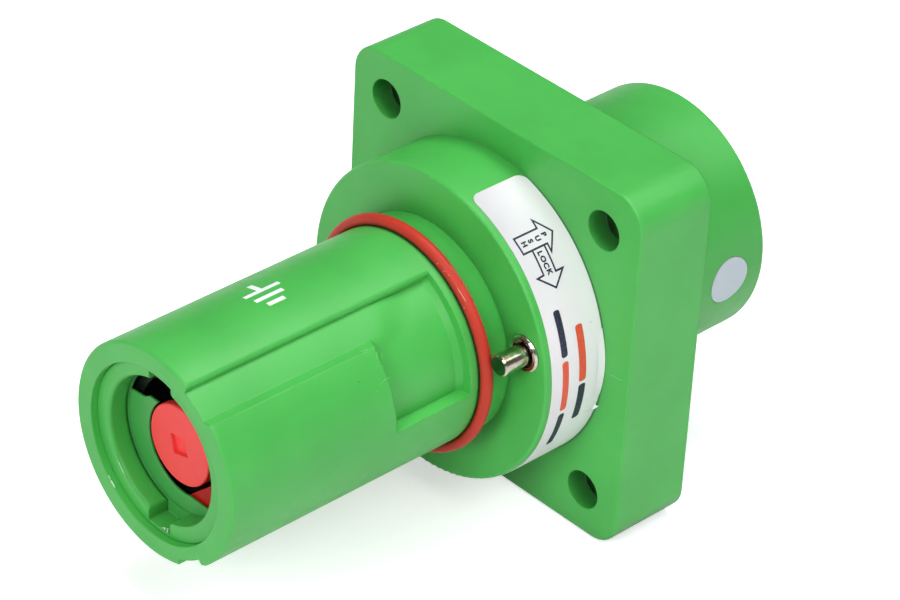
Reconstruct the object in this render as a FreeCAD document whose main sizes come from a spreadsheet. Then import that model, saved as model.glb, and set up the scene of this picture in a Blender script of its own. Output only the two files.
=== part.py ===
import FreeCAD
import Part
import math
import os
import Sketcher

# Single pole panel connector. The axis of the connector is Y, the mating end
# points to -Y, +Z is up, and the origin is the middle of the flange's rear face.

os.makedirs("parts", exist_ok=True)
V = FreeCAD.Vector
doc = FreeCAD.newDocument("single_pole_connector")
sheet = doc.addObject("Spreadsheet::Sheet", "dims")
sheet.Label = "dims"


class Size:
    """A number together with the sheet formula that gives it."""

    def __init__(self, value, formula):
        self.value = float(value)
        self.formula = formula

    @staticmethod
    def of(other):
        if isinstance(other, Size):
            return other
        return Size(other, repr(float(other)))

    def _join(self, other, sign, value):
        return Size(value, "(" + self.formula + " " + sign + " " + other.formula + ")")

    def __add__(self, other):
        other = Size.of(other)
        return self._join(other, "+", self.value + other.value)

    def __radd__(self, other):
        return Size.of(other) + self

    def __sub__(self, other):
        other = Size.of(other)
        return self._join(other, "-", self.value - other.value)

    def __rsub__(self, other):
        return Size.of(other) - self

    def __mul__(self, other):
        other = Size.of(other)
        return self._join(other, "*", self.value * other.value)

    def __rmul__(self, other):
        return Size.of(other) * self

    def __truediv__(self, other):
        other = Size.of(other)
        return self._join(other, "/", self.value / other.value)

    def __neg__(self):
        return Size(-self.value, "(0 - " + self.formula + ")")


def root(size):
    return Size(math.sqrt(size.value), "sqrt(" + size.formula + ")")


def sine(angle):
    return Size(math.sin(math.radians(angle.value)), "sin(" + angle.formula + ")")


def cosine(angle):
    return Size(math.cos(math.radians(angle.value)), "cos(" + angle.formula + ")")


row = [0]


def cell(alias, value, note):
    row[0] += 1
    at = str(row[0])
    sheet.set("A" + at, note)
    sheet.set("B" + at, str(value))
    sheet.setAlias("B" + at, alias)
    return Size(value, "dims." + alias)


# Lengths in mm, angles in degrees. Angles about the axis start at +Z and grow towards +X.
flange_side = cell("flange_side", 70.0, "square flange")
flange_thick = cell("flange_thick", 16.0, "flange, panel face to front face")
flange_corner = cell("flange_corner", 5.8, "corner radius of the flange")
flange_edge = cell("flange_edge", 0.4, "rounding of the flange's front edge")
fixing_pitch = cell("fixing_pitch", 53.0, "between fixing hole centres")
fixing_bore = cell("fixing_bore", 7.2, "fixing hole diameter")
fixing_wall = cell("fixing_wall", 4.2, "web of the flange at each fixing hole")
fixing_core = cell("fixing_core", 11.5, "diameter of the relief behind each hole")

collar_stand = cell("collar_stand", 13.3, "collar in front of the flange")
collar_land = cell("collar_land", 8.9, "collar's face outside the shoulder")
collar_edge = cell("collar_edge", 0.5, "rounding of the collar's front edge")
rear_width = cell("rear_width", 46.0, "rear barrel diameter")
rear_reach = cell("rear_reach", 29.5, "rear barrel behind the flange")
rear_edge = cell("rear_edge", 0.6, "rounding of the rear end")
rear_bore = cell("rear_bore", 34.0, "cable entry bore")

barrel_width = cell("barrel_width", 39.4, "barrel diameter")
barrel_reach = cell("barrel_reach", 89.0, "panel face to the mouth of the barrel")
barrel_edge = cell("barrel_edge", 0.4, "chamfer of the rim")
shoulder_rise = cell("shoulder_rise", 0.3, "shoulder behind the O-ring, above the barrel")
shoulder_long = cell("shoulder_long", 4.35, "shoulder in front of the collar")
spigot_step = cell("spigot_step", 0.8, "spigot in the collar, below the barrel")
spigot_end = cell("spigot_end", 6.0, "spigot stops short of the panel face by")
spigot_fit = cell("spigot_fit", 0.05, "gap all round the spigot")
barrel_bore = cell("barrel_bore", 28.0, "bore of the barrel")
barrel_heel = cell("barrel_heel", 8.0, "counterbore at the rear of the barrel")
heel_width = cell("heel_width", 32.4, "diameter of that counterbore")

mouth_width = cell("mouth_width", 32.0, "mouth and seat of the keying ring")
mouth_step = cell("mouth_step", 1.3, "keying ring below the rim")
ring_thick = cell("ring_thick", 4.1, "keying ring")
ring_bore = cell("ring_bore", 26.0, "bore of the keying ring")
ring_fit = cell("ring_fit", 0.05, "gap round the ring and the plate")
keyway_width = cell("keyway_width", 5.5, "keyway")
keyway_reach = cell("keyway_reach", 15.2, "keyway floor from the axis")
guard_thick = cell("guard_thick", 0.4, "guard plate")
guard_hole = cell("guard_hole", 17.1, "hole round the contact")
guard_hole_x = cell("guard_hole_x", 0.86, "that hole off the axis, sideways")
guard_hole_z = cell("guard_hole_z", 0.96, "that hole off the axis, downwards")
window_left = cell("window_left", 3.6, "window's lower edge at the left rim, above the axis")
window_dip = cell("window_dip", 4.15, "the same edge before its step")
window_step_left = cell("window_step_left", 8.9, "the step begins left of the axis by")
window_step_right = cell("window_step_right", 7.6, "the step ends left of the axis by")
window_mid = cell("window_mid", 4.95, "the same edge after its step")
window_low = cell("window_low", 9.3, "lower edge of the right window, below the axis")
guard_line = cell("guard_line", 0.2, "groove in the plate at the foot of the ring's bore")
guard_line_deep = cell("guard_line_deep", 0.15, "depth of that groove")
keyway_edge = cell("keyway_edge", 0.8, "rounding where the keyway meets the bore")

oring_cord = cell("oring_cord", 2.2, "O-ring section")
oring_groove = cell("oring_groove", 0.3, "depth of its groove")
oring_side = cell("oring_side", 0.08, "room in the groove on each side")

track_start_angle = cell("track_start_angle", 25.0, "wall of the first track")
track_second_angle = cell("track_second_angle", 115.8, "second track from the first")
track_sweep_angle = cell("track_sweep_angle", 21.0, "run of the track, wall to run-out")
track_ramp_angle = cell("track_ramp_angle", 3.8, "ramp of the run-out")
track_deep = cell("track_deep", 1.35, "depth of the run")
track_edge = cell("track_edge", 0.85, "rounding of the wall's outer edge")
track_end = cell("track_end", 37.6, "end wall of the track from the panel face")
lock_sweep_angle = cell("lock_sweep_angle", 66.8, "turning pocket")
lock_entry = cell("lock_entry", 10.0, "pocket along the axis, ahead of the track's wall")
lock_crest = cell("lock_crest", 17.2, "pocket along the axis, where its front wall bends")
lock_crest_angle = cell("lock_crest_angle", 22.4, "that bend from the track's wall")
lock_width = cell("lock_width", 16.3, "pocket along the axis, past its end wall")
lock_deep = cell("lock_deep", 2.5, "pocket's floor below the barrel")
lock_throw = cell("lock_throw", 0.5, "floor centre off the axis")
lock_lead_angle = cell("lock_lead_angle", 20.0, "floor centre ahead of the track wall")
lock_ramp = cell("lock_ramp", 1.3, "ramp of the floor before the rear wall")
lock_ramp_rise = cell("lock_ramp_rise", 0.55, "rise of that ramp")

sleeve_front = cell("sleeve_front", 1.0, "insulator behind the guard plate")
sleeve_fit = cell("sleeve_fit", 0.1, "gap round the insulator")
sleeve_bore = cell("sleeve_bore", 22.4, "contact chamber")
sleeve_floor = cell("sleeve_floor", 36.8, "floor of the chamber from the panel face")
heel_gap = cell("heel_gap", 0.1, "gap round the insulator's heel")

contact_width = cell("contact_width", 14.6, "contact pin")
contact_body = cell("contact_body", 19.7, "body in the insulator")
body_fit = cell("body_fit", 0.05, "gap round the body")
body_lip = cell("body_lip", 2.2, "body in front of the chamber floor")
contact_shoulder = cell("contact_shoulder", 25.0, "shoulder behind the insulator")
shoulder_thick = cell("shoulder_thick", 3.0, "that shoulder")
bucket_width = cell("bucket_width", 22.0, "cable bucket")
bucket_bore = cell("bucket_bore", 16.4, "bore for the cable")
bucket_end = cell("bucket_end", 25.5, "bucket behind the panel face")
bucket_deep = cell("bucket_deep", 28.0, "depth of its bore")
tip_long = cell("tip_long", 11.6, "cap on the contact")
tip_width = cell("tip_width", 14.66, "head of the cap")
tip_head = cell("tip_head", 1.4, "thickness of the head")
tip_neck = cell("tip_neck", 12.6, "neck of the cap")
tip_stud = cell("tip_stud", 5.8, "stud in the contact")
stud_long = cell("stud_long", 7.0, "length of the stud")
stud_fit = cell("stud_fit", 0.65, "play round the stud")
tip_drop = cell("tip_drop", 0.6, "loose cap below the axis")
recess_side = cell("recess_side", 3.6, "square recess in the cap's face")
recess_deep = cell("recess_deep", 0.65, "its depth")
recess_turn_angle = cell("recess_turn_angle", 14.0, "its turn")
recess_draft_angle = cell("recess_draft_angle", 15.0, "taper of its sides")
tip_proud = cell("tip_proud", 0.0, "face of the cap in front of the guard plate")

band_nose = cell("band_nose", 10.0, "contact band behind the nose of the contact")
band_long = cell("band_long", 12.0, "contact band")
band_seat = cell("band_seat", 0.5, "depth of its groove")
band_rise = cell("band_rise", 0.35, "louvres above the contact")
band_sheet = cell("band_sheet", 0.25, "sheet thickness")
band_slots = cell("band_slots", 16, "slots in the band")
band_slot = cell("band_slot", 0.7, "width of a slot")
band_play = cell("band_play", 0.25, "band short of its groove at each end")

seal_place = cell("seal_place", 30.0, "contact seal from the panel face")
seal_cord = cell("seal_cord", 1.4, "its section")
clip_thick = cell("clip_thick", 1.0, "circlip")
clip_deep = cell("clip_deep", 0.85, "depth of its groove")
clip_rise = cell("clip_rise", 1.1, "circlip above the body")
clip_play = cell("clip_play", 0.05, "play of the circlip")
clip_gap_angle = cell("clip_gap_angle", 40.0, "opening of the circlip")

key_angle = cell("key_angle", 137.5, "coding key about the axis")
key_wide = cell("key_wide", 10.0, "coding key across")
key_inner = cell("key_inner", 8.5, "its inner face from the axis")
key_outer = cell("key_outer", 12.9, "its outer face from the axis")
key_long = cell("key_long", 6.0, "along the axis")
key_gap = cell("key_gap", 0.2, "behind the guard plate")
key_fit = cell("key_fit", 0.05, "gap in its notch")

screw_place = cell("screw_place", 20.9, "retaining screw behind the panel face")
screw_angle = cell("screw_angle", 92.0, "retaining screw about the axis")
boss_width = cell("boss_width", 12.0, "boss of the screw")
boss_gap = cell("boss_gap", 0.3, "boss off the bucket")
insert_width = cell("insert_width", 7.2, "threaded insert")
insert_sink = cell("insert_sink", 0.6, "insert below the face of the boss")
insert_cover = cell("insert_cover", 0.4, "insert below the seat of the screw")
insert_fit = cell("insert_fit", 0.02, "gap round the insert")
screw_shank = cell("screw_shank", 4.9, "screw shank")
screw_fit = cell("screw_fit", 0.05, "gap round the shank")
screw_bite = cell("screw_bite", 1.8, "screw into the wall of the bucket")
head_gap = cell("head_gap", 0.5, "head below the plug")
screw_head = cell("screw_head", 8.0, "head diameter")
head_high = cell("head_high", 2.8, "head height")
hex_socket = cell("hex_socket", 4.0, "key socket across flats")
socket_deep = cell("socket_deep", 1.6, "depth of the socket")
plug_width = cell("plug_width", 8.9, "cover plug")
plug_fit = cell("plug_fit", 0.05, "gap round the plug")
plug_thick = cell("plug_thick", 2.9, "plug, below the surface of the barrel")
plug_proud = cell("plug_proud", 0.05, "plug's face above the barrel")

pin_gap = cell("pin_gap", 0.65, "locking pin clear of the O-ring")
pin_angle = cell("pin_angle", 75.0, "locking pin about the axis")
pin_width = cell("pin_width", 3.9, "pin")
pin_reach = cell("pin_reach", 6.0, "pin in front of the collar")
pin_nose = cell("pin_nose", 0.3, "chamfer of the pin")
pin_head_width = cell("pin_head_width", 5.6, "head of the pin")
pin_head_long = cell("pin_head_long", 1.5, "head of the pin")
pin_tail_width = cell("pin_tail_width", 2.4, "tail in the spring")
pin_tail_long = cell("pin_tail_long", 4.4, "tail in the spring")
pin_slip = cell("pin_slip", 0.05, "running gap of the pin")
head_slip = cell("head_slip", 0.1, "head behind the bush")
bush_width = cell("bush_width", 6.4, "bush of the pin")
bush_lip = cell("bush_lip", 6.7, "its rolled lip")
lip_high = cell("lip_high", 0.6, "lip in front of the collar")
bush_mouth = cell("bush_mouth", 5.0, "open mouth of the bush")
mouth_deep = cell("mouth_deep", 1.5, "depth of that mouth")
bush_long = cell("bush_long", 5.6, "bush in the collar")
bush_fit = cell("bush_fit", 0.05, "gap round the bush")
pocket_end = cell("pocket_end", 9.4, "pin's pocket ends before the panel face")
spring_mean = cell("spring_mean", 4.2, "spring, mean diameter")
spring_wire = cell("spring_wire", 0.45, "spring wire")
spring_turns = cell("spring_turns", 6, "turns of the spring")
spring_play = cell("spring_play", 0.3, "spring clear of its seats")

label_start_angle = cell("label_start_angle", 14.0, "label's first end")
label_sweep_angle = cell("label_sweep_angle", 136.0, "label round the collar")
label_front = cell("label_front", 1.3, "label behind the collar's front face")
label_wide = cell("label_wide", 11.9, "label along the axis")
label_film = cell("label_film", 0.12, "film thickness")
label_corner = cell("label_corner", 1.8, "corner radius of the label")
label_gap = cell("label_gap", 0.01, "film off the collar")
doc.recompute()

# Places along the axis that several pieces share
collar_face = flange_thick + collar_stand
shoulder_width = barrel_width + shoulder_rise * 2
collar_width = shoulder_width + collar_land * 2
spigot_width = barrel_width - spigot_step * 2
ring_face = barrel_reach - mouth_step
guard_face = ring_face - ring_thick
guard_back = guard_face - guard_thick
sleeve_face = guard_back - sleeve_front
heel_face = spigot_end + barrel_heel
tip_reach = guard_face + tip_proud
contact_nose = tip_reach - tip_long
band_front = contact_nose - band_nose
oring_major = barrel_width / 2 - oring_groove + oring_cord / 2
oring_place = collar_face + shoulder_long + oring_side + oring_cord / 2
pin_circle = oring_major + oring_cord / 2 + pin_gap + pin_width / 2
pin_x = pin_circle * sine(pin_angle)
pin_z = pin_circle * cosine(pin_angle)

kept = []


def keep(obj, label):
    obj.Label = label
    kept.append(obj)
    return obj


def bind(obj, prop, size):
    size = Size.of(size)
    obj.setExpression(prop, size.formula)


def new_body(name):
    return doc.addObject("PartDesign::Body", name)


def sketch_on(body, role, name, offset=None):
    """Sketch on an origin plane of the body, moved along the plane's normal by offset."""
    sketch = body.newObject("Sketcher::SketchObject", name)
    plane = [f for f in body.Origin.OriginFeatures if f.Role == role][0]
    sketch.AttachmentSupport = (plane, [""])
    sketch.MapMode = "FlatFace"
    if offset is not None:
        sketch.AttachmentOffset = FreeCAD.Placement(V(0, 0, offset.value), FreeCAD.Rotation())
        bind(sketch, "AttachmentOffset.Base.z", offset)
    return sketch


def fix_point(sketch, geo, point, horizontal, vertical):
    """Tie one sketch point to the sheet, by its distances from the sketch's origin."""
    for kind, size, axis in (("DistanceX", horizontal, -2), ("DistanceY", vertical, -1)):
        size = Size.of(size)
        if size.value == 0.0 and "dims" not in size.formula:
            sketch.addConstraint(Sketcher.Constraint("PointOnObject", geo, point, axis))
            continue
        number = sketch.addConstraint(Sketcher.Constraint(kind, -1, 1, geo, point, size.value))
        sketch.setExpression("Constraints[" + str(number) + "]", size.formula)


def polygon(sketch, points):
    """Closed outline through points given as pairs of sizes."""
    pts = [(Size.of(a), Size.of(b)) for a, b in points]
    first = sketch.GeometryCount
    n = len(pts)
    for i in range(n):
        a, b = pts[i], pts[(i + 1) % n]
        sketch.addGeometry(Part.LineSegment(V(a[0].value, a[1].value, 0),
                                            V(b[0].value, b[1].value, 0)), False)
    for i in range(n):
        sketch.addConstraint(Sketcher.Constraint("Coincident", first + i, 2, first + (i + 1) % n, 1))
    for i in range(n):
        fix_point(sketch, first + i, 1, pts[i][0], pts[i][1])


def rounded_outline(sketch, points, turn_at, radius):
    """Closed outline whose side after point number turn_at is an arc of the given radius,
    convex to the right of the way round."""
    pts = [(Size.of(a), Size.of(b)) for a, b in points]
    first = sketch.GeometryCount
    n = len(pts)
    for i in range(n):
        a, b = [V(p[0].value, p[1].value, 0) for p in (pts[i], pts[(i + 1) % n])]
        if i == turn_at:
            half = (b - a).Length / 2
            side = V(a.y - b.y, b.x - a.x, 0).normalize()
            centre = (a + b) / 2 + side * math.sqrt(radius.value ** 2 - half ** 2)
            begin = math.atan2(a.y - centre.y, a.x - centre.x)
            finish = math.atan2(b.y - centre.y, b.x - centre.x)
            sketch.addGeometry(Part.ArcOfCircle(Part.Circle(centre, V(0, 0, 1), radius.value),
                                                begin, finish), False)
        else:
            sketch.addGeometry(Part.LineSegment(a, b), False)
    for i in range(n):
        sketch.addConstraint(Sketcher.Constraint("Coincident", first + i, 2, first + (i + 1) % n, 1))
    for i in range(n):
        fix_point(sketch, first + i, 1, pts[i][0], pts[i][1])
    number = sketch.addConstraint(Sketcher.Constraint("Radius", first + turn_at, radius.value))
    sketch.setExpression("Constraints[" + str(number) + "]", radius.formula)


def ring_outline(sketch, radius, horizontal=0.0, vertical=0.0):
    horizontal, vertical = Size.of(horizontal), Size.of(vertical)
    geo = sketch.addGeometry(Part.Circle(V(horizontal.value, vertical.value, 0), V(0, 0, 1),
                                         radius.value), False)
    fix_point(sketch, geo, 3, horizontal, vertical)
    number = sketch.addConstraint(Sketcher.Constraint("Radius", geo, radius.value))
    sketch.setExpression("Constraints[" + str(number) + "]", radius.formula)


def turned(body, name, points, cut=False, axis="V_Axis"):
    """Turn an outline, given as (radius, place on the axis), about the connector's axis."""
    sketch = sketch_on(body, "XY_Plane", name + "_outline")
    polygon(sketch, points)
    kind = "PartDesign::Groove" if cut else "PartDesign::Revolution"
    feature = body.newObject(kind, name)
    feature.Profile = sketch
    feature.ReferenceAxis = (sketch, [axis])
    feature.Angle = 360.0
    return feature


def padded(body, name, sketch, length, back=False, taper=None):
    feature = body.newObject("PartDesign::Pad", name)
    feature.Profile = sketch
    feature.Length = length.value
    bind(feature, "Length", length)
    feature.Reversed = back
    if taper is not None:
        feature.TaperAngle = taper.value
        bind(feature, "TaperAngle", taper)
    return feature


def pocket(body, name, sketch, length, back=False, taper=None):
    feature = body.newObject("PartDesign::Pocket", name)
    feature.Profile = sketch
    feature.Length = length.value
    bind(feature, "Length", length)
    feature.Reversed = back
    if taper is not None:
        feature.TaperAngle = taper.value
        bind(feature, "TaperAngle", taper)
    return feature


def place(obj, x=None, y=None, z=None):
    for name, size in (("x", x), ("y", y), ("z", z)):
        if size is not None:
            bind(obj, "Placement.Base." + name, size)


def turn_about_y(obj, angle):
    """Turn an object about the connector's axis; its local X then points at 90 + angle."""
    angle = Size.of(angle)
    obj.Placement = FreeCAD.Placement(obj.Placement.Base, FreeCAD.Rotation(V(0, 1, 0), angle.value))
    bind(obj, "Placement.Rotation.Angle", angle)


def cut(name, base, tools):
    """Base less all the tools, as a boolean of the document."""
    if len(tools) == 1:
        tool = tools[0]
    else:
        tool = doc.addObject("Part::MultiFuse", name + "_tools")
        tool.Shapes = tools
    feature = doc.addObject("Part::Cut", name)
    feature.Base = base
    feature.Tool = tool
    return feature


def both(name, kind, base, tool):
    feature = doc.addObject(kind, name)
    feature.Base = base
    feature.Tool = tool
    return feature


def edges_where(shape, test):
    return ["Edge" + str(i + 1) for i, edge in enumerate(shape.Edges) if test(edge)]


def ends(edge):
    return [v.Point for v in edge.Vertexes]


def rounded(body, name, base, names, radius):
    feature = body.newObject("PartDesign::Fillet", name)
    feature.Base = (base, names)
    feature.Radius = radius.value
    bind(feature, "Radius", radius)
    return feature


def ring_at(edge, place_on_axis, radius):
    """A full circle of the given radius round the axis at the given place."""
    curve = edge.Curve
    return (isinstance(curve, Part.Circle) and abs(curve.Radius - radius.value) < 1e-4
            and abs(curve.Center.y + place_on_axis.value) < 1e-4
            and math.hypot(curve.Center.x, curve.Center.z) < 1e-4)


# Flange housing: the square flange, the collar in front of it and the rear barrel behind it
housing = new_body("housing_blank")
square = sketch_on(housing, "XZ_Plane", "flange_outline")
half = flange_side / 2
polygon(square, [(-half, -half), (half, -half), (half, half), (-half, half)])
flange = padded(housing, "flange_pad", square, flange_thick)
doc.recompute()
corners = edges_where(flange.Shape, lambda e: len(e.Vertexes) == 2
                      and abs(ends(e)[0].y - ends(e)[1].y) > 0.9 * flange_thick.value)
flange = rounded(housing, "flange_corners", flange, corners, flange_corner)
doc.recompute()
front_edges = edges_where(flange.Shape, lambda e: all(
    abs(p.y + flange_thick.value) < 1e-4 for p in ends(e)))
flange = rounded(housing, "flange_front_edge", flange, front_edges, flange_edge)
turned(housing, "collar_and_rear", [
    (0, -collar_face), (collar_width / 2, -collar_face),
    (collar_width / 2, -(flange_thick / 2)), (rear_width / 2, -(flange_thick / 2)),
    (rear_width / 2, rear_reach), (0, rear_reach)])
doc.recompute()
turn = housing.Tip
rims = edges_where(turn.Shape, lambda e: ring_at(e, collar_face, collar_width / 2))
turn = rounded(housing, "collar_front_edge", turn, rims, collar_edge)
doc.recompute()
rims = edges_where(turn.Shape, lambda e: ring_at(e, -rear_reach, rear_width / 2))
rounded(housing, "rear_end_edge", turn, rims, rear_edge)
spigot_seat = spigot_width / 2 + spigot_fit
turned(housing, "through_bore", [
    (0, -(collar_face + 1)), (spigot_seat, -(collar_face + 1)), (spigot_seat, -spigot_end),
    (rear_bore / 2, -spigot_end), (rear_bore / 2, rear_reach + 1), (0, rear_reach + 1)], cut=True)

# Boss inside the rear bore that carries the retaining screw
boss = new_body("screw_boss")
boss_start = bucket_width / 2 + boss_gap
boss_root = rear_width / 2 - (rear_width - rear_bore) / 4
turned(boss, "boss_turn", [(boss_start, 0), (boss_start, boss_width / 2),
                           (boss_root, boss_width / 2), (boss_root, 0)], axis="H_Axis")
place(boss, y=screw_place)
turn_about_y(boss, screw_angle - 90)
housing_whole = both("housing_with_boss", "Part::Fuse", housing, boss)

fixing = new_body("fixing_holes")
hole_edge = (fixing_bore / 2, fixing_core / 2)
turned(fixing, "fixing_hole", [
    (0, -(flange_thick + 1)), (hole_edge[0], -(flange_thick + 1)),
    (hole_edge[0], fixing_wall - flange_thick), (hole_edge[1], fixing_wall - flange_thick),
    (hole_edge[1], 1), (0, 1)])
place(fixing, x=fixing_pitch / 2, z=fixing_pitch / 2)
fixing_tools = [fixing]
for number, (side, height) in enumerate(((-1, 1), (-1, -1), (1, -1))):
    copy = doc.addObject("App::Link", "fixing_holes_" + str(number + 2))
    copy.LinkedObject = fixing
    copy.LinkTransform = False
    place(copy, x=fixing_pitch / 2 * side, z=fixing_pitch / 2 * height)
    fixing_tools.append(copy)

# Blind pocket of the locking pin, open at the collar's front face
pin_pocket = new_body("pin_pocket")
pocket_radius = bush_width / 2 + bush_fit
turned(pin_pocket, "pin_pocket_turn", [
    (0, -(collar_face + 1)), (pocket_radius, -(collar_face + 1)),
    (pocket_radius, -pocket_end), (0, -pocket_end)])
place(pin_pocket, x=pin_x, z=pin_z)

# Stepped hole of the retaining screw: thread, insert, head and plug
plug_floor = rear_width / 2 - plug_thick
screw_seat = plug_floor - head_gap - head_high
screw_hole = new_body("screw_hole")
thread_radius = screw_shank / 2 + screw_fit
insert_radius = insert_width / 2 + insert_fit
insert_start = boss_start + insert_sink
insert_end = screw_seat - insert_cover
plug_radius = plug_width / 2 + plug_fit
turned(screw_hole, "screw_hole_turn", [
    (boss_start - 1, 0), (boss_start - 1, thread_radius), (insert_start, thread_radius),
    (insert_start, insert_radius), (insert_end, insert_radius), (insert_end, thread_radius),
    (screw_seat, thread_radius), (screw_seat, plug_radius),
    (rear_width / 2 + 2, plug_radius), (rear_width / 2 + 2, 0)], axis="H_Axis")
place(screw_hole, y=screw_place)
turn_about_y(screw_hole, screw_angle - 90)
keep(cut("flange_housing", housing_whole, fixing_tools + [pin_pocket, screw_hole]),
     "flange_housing")

# Front barrel: rim, O-ring groove, shoulder and spigot outside, stepped bore inside
barrel = new_body("barrel_blank")
outer = barrel_width / 2
track_floor = outer - track_deep
lock_floor = outer - lock_deep
groove_radius = outer - oring_groove
groove_back = collar_face + shoulder_long
groove_front = groove_back + oring_cord + oring_side * 2
turned(barrel, "barrel_turn", [
    (mouth_width / 2, -barrel_reach), (outer - barrel_edge, -barrel_reach),
    (outer, -(barrel_reach - barrel_edge)), (outer, -groove_front),
    (groove_radius, -groove_front), (groove_radius, -groove_back),
    (shoulder_width / 2, -groove_back), (shoulder_width / 2, -collar_face),
    (spigot_width / 2, -collar_face), (spigot_width / 2, -(spigot_end)),
    (heel_width / 2, -(spigot_end)), (heel_width / 2, -heel_face),
    (barrel_bore / 2, -heel_face), (barrel_bore / 2, -guard_back),
    (mouth_width / 2, -guard_back)])


def track(name, start):
    """Cutter of one bayonet track: a run from the rim, then a turning pocket."""
    run_out = start + track_sweep_angle
    ramp_foot = run_out - track_ramp_angle
    clear = outer + 3
    run = new_body(name + "_run")
    sketch = sketch_on(run, "XZ_Plane", name + "_run_outline", barrel_reach + 1)
    # The wall's outer edge is an arc that touches both the wall and the barrel
    wall_top = root(outer * outer - 2 * outer * track_edge)
    share = outer / (outer - track_edge)
    skin_x = (wall_top * sine(start) - track_edge * cosine(start)) * share
    skin_z = (wall_top * cosine(start) + track_edge * sine(start)) * share
    rounded_outline(sketch, [
        (1.0 * sine(start), 1.0 * cosine(start)),
        (wall_top * sine(start), wall_top * cosine(start)),
        (skin_x, skin_z), (skin_x * (clear / outer), skin_z * (clear / outer)),
        (clear * sine(run_out), clear * cosine(run_out)),
        (outer * sine(run_out), outer * cosine(run_out)),
        (track_floor * sine(ramp_foot), track_floor * cosine(ramp_foot)),
        (1.0 * sine(ramp_foot), 1.0 * cosine(ramp_foot))], 1, track_edge)
    padded(run, name + "_run_pad", sketch, barrel_reach + 1 - track_end, back=True)
    turned(run, name + "_run_floor", [
        (0, -(barrel_reach + 2)), (track_floor, -(barrel_reach + 2)),
        (track_floor, -(track_end - 1)), (0, -(track_end - 1))], cut=True)

    # Sector of the pocket, as seen along the axis, down to its eccentric floor
    end = start + lock_sweep_angle
    reach = outer + 6
    sector = new_body(name + "_sector")
    sketch = sketch_on(sector, "XZ_Plane", name + "_sector_outline", track_end + lock_width * 2)
    middle = start + lock_sweep_angle / 2
    corner = reach / cosine(lock_sweep_angle / 4)
    polygon(sketch, [
        (1.0 * sine(start), 1.0 * cosine(start)), (reach * sine(start), reach * cosine(start)),
        (corner * sine(start + lock_sweep_angle / 4), corner * cosine(start + lock_sweep_angle / 4)),
        (reach * sine(middle), reach * cosine(middle)),
        (corner * sine(end - lock_sweep_angle / 4), corner * cosine(end - lock_sweep_angle / 4)),
        (reach * sine(end), reach * cosine(end)), (1.0 * sine(end), 1.0 * cosine(end))])
    padded(sector, name + "_sector_pad", sketch, lock_width * 2, back=True)
    lead = start - lock_lead_angle
    off = lock_throw * sine(lead)
    far = track_end + lock_width * 2 + 1
    sketch = sketch_on(sector, "XY_Plane", name + "_floor_outline", lock_throw * cosine(lead))
    polygon(sketch, [
        (off, -far), (off + lock_floor, -far), (off + lock_floor, -(track_end + lock_ramp)),
        (off + lock_floor + lock_ramp_rise, -track_end),
        (off + lock_floor + lock_ramp_rise, -(track_end - 1)), (off, -(track_end - 1))])
    line = sketch.addGeometry(Part.LineSegment(V(off.value, 0, 0), V(off.value, -10, 0)), True)
    fix_point(sketch, line, 1, off, 0)
    fix_point(sketch, line, 2, off, Size.of(-10))
    floor = sector.newObject("PartDesign::Groove", name + "_floor")
    floor.Profile = sketch
    floor.ReferenceAxis = (sketch, ["Axis0"])
    floor.Angle = 360.0
    doc.recompute()

    # Front wall of the pocket, drawn looking outwards along its middle: it runs forward
    # across the run, bends where the run ends, and comes back a little towards the end
    ramp = new_body(name + "_ramp")
    sketch = sketch_on(ramp, "XY_Plane", name + "_ramp_outline")
    wide = outer * sine(lock_sweep_angle / 2) + 2
    bend = outer * sine(lock_crest_angle - lock_sweep_angle / 2)
    polygon(sketch, [(-wide, -track_end), (wide, -track_end),
                     (wide, -(track_end + lock_width)), (bend, -(track_end + lock_crest)),
                     (-wide, -(track_end + lock_entry))])
    padded(ramp, name + "_ramp_pad", sketch, reach + 4)
    turn_about_y(ramp, middle)
    return [run, both(name + "_pocket", "Part::Common", sector, ramp)]


tracks = track("first_track", track_start_angle) + track("second_track", track_start_angle + track_second_angle)
keep(cut("front_barrel", barrel, tracks), "front_barrel")

# Keying ring, with a keyway at the top and one at the bottom
ring = new_body("keying_ring")
ring_outer = mouth_width / 2 - ring_fit
turned(ring, "keying_ring_turn", [
    (ring_bore / 2, -ring_face), (ring_outer, -ring_face),
    (ring_outer, -guard_face), (ring_bore / 2, -guard_face)])
slot = sketch_on(ring, "XZ_Plane", "keyway_outline", ring_face)
polygon(slot, [(-keyway_width / 2, -keyway_reach), (keyway_width / 2, -keyway_reach),
               (keyway_width / 2, keyway_reach), (-keyway_width / 2, keyway_reach)])
slot = pocket(ring, "keyways", slot, ring_thick)
doc.recompute()
brinks = edges_where(slot.Shape, lambda e: len(e.Vertexes) == 2 and all(
    abs(abs(p.x) - keyway_width.value / 2) < 1e-4
    and abs(math.hypot(p.x, p.z) - ring_bore.value / 2) < 1e-4 for p in ends(e)))
rounded(ring, "keyway_edges", slot, brinks, keyway_edge)
keep(ring, "keying_ring")

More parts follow.
